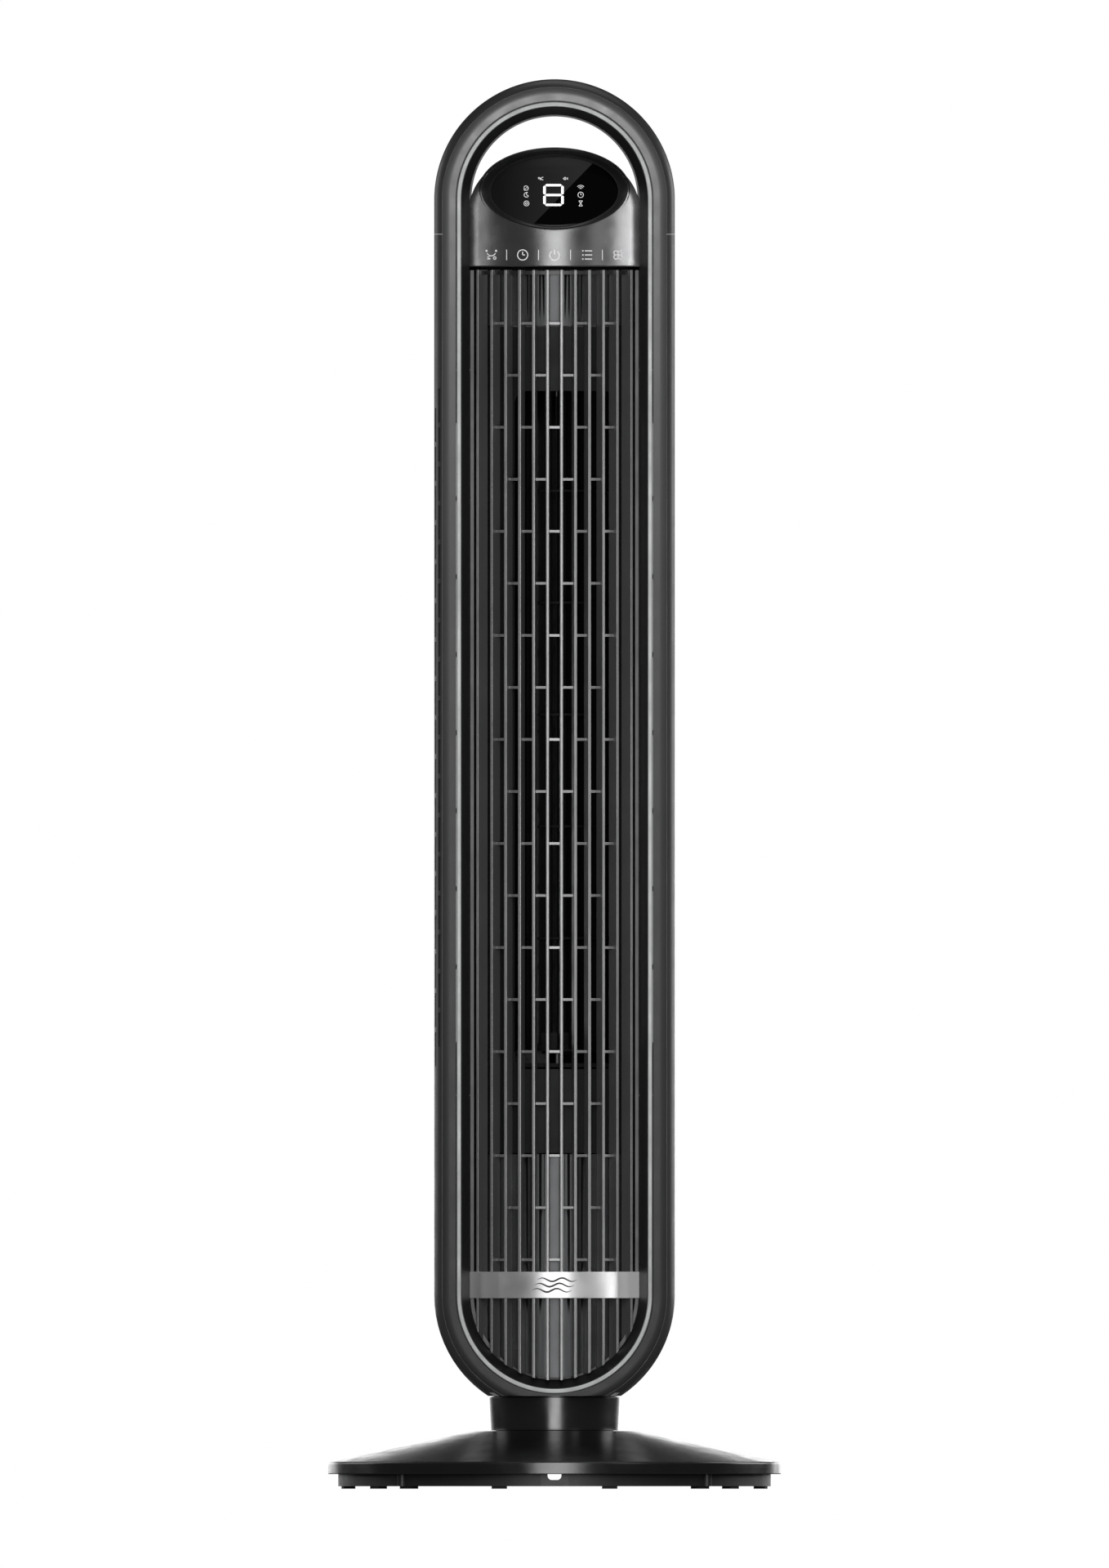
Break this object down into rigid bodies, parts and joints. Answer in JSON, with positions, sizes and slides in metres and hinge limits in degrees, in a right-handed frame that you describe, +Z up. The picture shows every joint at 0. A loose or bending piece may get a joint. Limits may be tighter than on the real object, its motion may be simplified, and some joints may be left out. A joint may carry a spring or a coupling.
{
  "type": "tower fan",
  "caption": "Tall oscillating tower fan with a looped body, carrying handle, finned front grille, touch-key head with tilted display and a round base.",
  "frame": {"origin": "on the floor, at the middle of the round base, under the swivel axis", "axes": "+Z up along the swivel axis, front facing -Y, +X to the viewer's right from the front"},
  "size_m": [0.3424, 0.3424, 1.066],
  "materials": {
    "base_plastic": "satin moulded, fine spark texture",
    "dark_plastic": "matte moulded",
    "weight_steel": "rolled, oiled",
    "soft_rubber": "matte",
    "screw_steel": "zinc plated",
    "white_plastic": "natural acetal",
    "neck_plastic": "satin gloss",
    "shell_plastic": "satin moulded, fine spark texture",
    "frame_paint": "satin dark grey",
    "ring_silver": "satin silver plated",
    "liner_plastic": "satin gloss",
    "grille_paint": "satin gunmetal",
    "badge_silver": "satin silver, brushed",
    "baffle_plastic": "satin",
    "head_paint": "satin gunmetal",
    "bezel_plastic": "satin",
    "lens_gloss": "high gloss",
    "board_laminate": "solder mask",
    "motor_steel": "pressed",
    "bearing_bronze": "sintered",
    "impeller_plastic": "glass filled",
    "shaft_steel": "ground"
  },
  "bodies": {
    "base": {"base_cover": "base_plastic", "base_tray": "dark_plastic", "base_weight": "weight_steel", "rubber_feet": "soft_rubber", "base_screws": "screw_steel", "pivot_tube": "white_plastic", "thrust_ring": "white_plastic", "swing_gear": "white_plastic", "cord_clamp": "dark_plastic", "pivot_screws": "screw_steel"},
    "column": {"neck": "neck_plastic", "neck_screws": "screw_steel", "column_floor": "dark_plastic", "rear_shell": "shell_plastic", "handle_shell": "shell_plastic", "rear_grille": "shell_plastic", "front_frame": "frame_paint", "trim_ring": "ring_silver", "inner_liner": "liner_plastic", "front_grille": "grille_paint", "badge_band": "badge_silver", "upper_baffle": "baffle_plastic", "lower_baffle": "baffle_plastic", "head_cover": "head_paint", "display_bezel": "bezel_plastic", "display_lens": "lens_gloss", "display_board": "board_laminate", "touch_board": "board_laminate", "outlet_frame": "dark_plastic", "scroll_casing": "dark_plastic", "vortex_tongue": "dark_plastic", "casing_top_plate": "dark_plastic", "casing_bottom_plate": "dark_plastic", "motor_can": "motor_steel", "motor_bracket": "dark_plastic", "motor_grommets": "soft_rubber", "motor_screws": "screw_steel", "top_bearing": "bearing_bronze", "bearing_seat": "soft_rubber", "bearing_cap": "dark_plastic", "control_board": "board_laminate", "board_posts": "dark_plastic", "cover_screws": "screw_steel", "swing_motor": "motor_steel", "swing_motor_screws": "screw_steel", "grille_screws": "screw_steel"},
    "swing_pinion": {"swing_pinion": "white_plastic"},
    "impeller": {"impeller": "impeller_plastic", "impeller_hub": "soft_rubber", "motor_shaft": "shaft_steel", "stub_shaft": "shaft_steel"}
  },
  "joints": [
    {"name": "oscillation", "type": "hinge", "parent": "base", "child": "column", "pos_m": [0, 0, 0.05], "axis": [0, 0, 1], "range_deg": [-45, 45]},
    {"name": "swing_pinion_spin", "type": "hinge", "parent": "column", "child": "swing_pinion", "pos_m": [0, 0.03, 0.055], "axis": [0, 0, 1], "range_deg": [-185, 185]},
    {"name": "impeller_spin", "type": "hinge", "parent": "column", "child": "impeller", "pos_m": [0.002, 0.016, 0.6], "axis": [0, 0, 1], "continuous": true}
  ],
  "couplings": [
    {"joint": "swing_pinion_spin", "follows": "oscillation", "ratio": 4}
  ]
}
